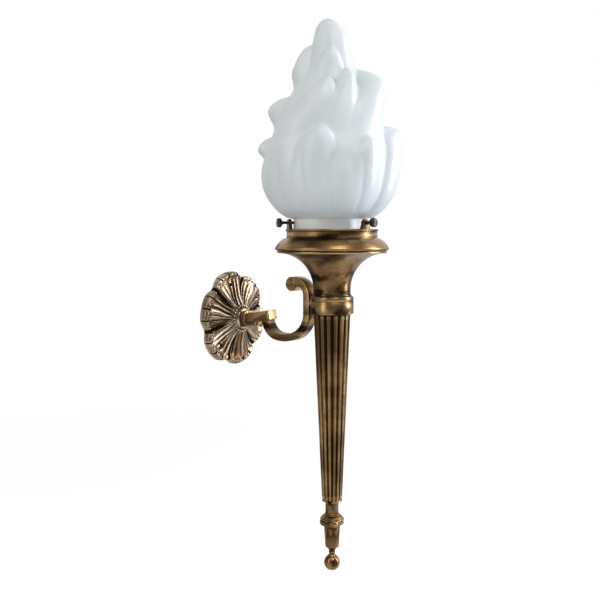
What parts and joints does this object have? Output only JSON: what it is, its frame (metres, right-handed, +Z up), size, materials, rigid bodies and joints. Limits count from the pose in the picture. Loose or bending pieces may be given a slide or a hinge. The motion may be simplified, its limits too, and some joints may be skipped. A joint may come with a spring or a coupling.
{
  "type": "torch sconce",
  "caption": "Torch-shaped wall light: frosted flame glass held by screws in a gallery, trumpet bell, fluted tapering column with ball finial, scrolled arm and petalled wall rosette.",
  "frame": {"origin": "The centre of the wall screw circle, in the plane of the wall, at the middle of the rosette's open rear.", "axes": "+Z up, +Y into the wall, the torch stands out towards -Y, and +X is to the right for someone who faces the wall."},
  "size_m": [0.1517, 0.2248, 0.633],
  "materials": {
    "antique_brass": "cast and turned brass with a dark brown antique patina, rubbed bright on the edges",
    "holder_shell": "thin pressed brass, lightly darkened",
    "blackened_screws": "blackened steel",
    "frosted_glass": "satin etched, translucent",
    "zinc_plated_steel": "bright zinc plated",
    "plain_brass": "bare pressed brass",
    "porcelain": "white glazed porcelain",
    "white_plastic": "moulded",
    "bulb_frost": "inside frosted",
    "bulb_aluminium": "rolled thread",
    "black_glass": "vitrite",
    "solder": "soft solder",
    "brown_insulation": "soft sleeve",
    "blue_insulation": "soft sleeve",
    "green_insulation": "soft sleeve"
  },
  "bodies": {
    "fixture": {"rosette": "antique_brass", "hub_collar": "antique_brass", "arm": "antique_brass", "wall_washer": "zinc_plated_steel", "wall_nut": "zinc_plated_steel", "saddle_washer": "zinc_plated_steel", "tail_nut": "zinc_plated_steel", "ferrule": "antique_brass", "column": "antique_brass", "bell_cup": "antique_brass", "gallery": "antique_brass", "tie_rod": "zinc_plated_steel", "gallery_washer": "zinc_plated_steel", "earth_tag": "plain_brass", "gallery_nut": "zinc_plated_steel", "holder_cap": "holder_shell", "holder_core": "porcelain", "holder_skirt": "holder_shell", "screw_sleeve": "plain_brass", "centre_contact": "plain_brass", "foot_collar": "antique_brass", "foot_block": "antique_brass", "ball_finial": "antique_brass", "terminal_block": "white_plastic", "terminal_screws": "zinc_plated_steel", "earth_screw": "plain_brass", "live_lead": "brown_insulation", "neutral_lead": "blue_insulation", "earth_lead": "green_insulation"},
    "thumb_1": {"thumb_screw_1": "blackened_screws"},
    "thumb_2": {"thumb_screw_2": "blackened_screws"},
    "thumb_3": {"thumb_screw_3": "blackened_screws"},
    "shade": {"glass_neck": "frosted_glass", "glass_bowl": "frosted_glass", "glass_crown": "frosted_glass"},
    "bulb_foot": {"bulb_insulator": "black_glass", "bulb_contact": "solder"},
    "bulb": {"bulb_glass": "bulb_frost", "bulb_cap": "bulb_aluminium"}
  },
  "joints": [
    {"name": "thumb_screw_1_out", "type": "slide", "parent": "fixture", "child": "thumb_1", "axis": [0.9397, 0.342, 0], "range_m": [0, 0.006]},
    {"name": "thumb_screw_2_out", "type": "slide", "parent": "fixture", "child": "thumb_2", "axis": [-0.766, 0.6428, 0], "range_m": [0, 0.006]},
    {"name": "thumb_screw_3_out", "type": "slide", "parent": "fixture", "child": "thumb_3", "axis": [-0.1736, -0.9848, 0], "range_m": [0, 0.006]},
    {"name": "shade_lift", "type": "slide", "parent": "fixture", "child": "shade", "axis": [0, 0, 1], "range_m": [0, 0.15]},
    {"name": "bulb_rise", "type": "slide", "parent": "fixture", "child": "bulb_foot", "axis": [0, 0, 1], "range_m": [0, 0.0181]},
    {"name": "bulb_turn", "type": "hinge", "parent": "bulb_foot", "child": "bulb", "pos_m": [0, -0.15, 0.134], "axis": [0, 0, 1], "range_deg": [0, 1800]}
  ],
  "couplings": [
    {"joint": "bulb_rise", "follows": "bulb_turn", "m_per_rad": 0.000573}
  ]
}
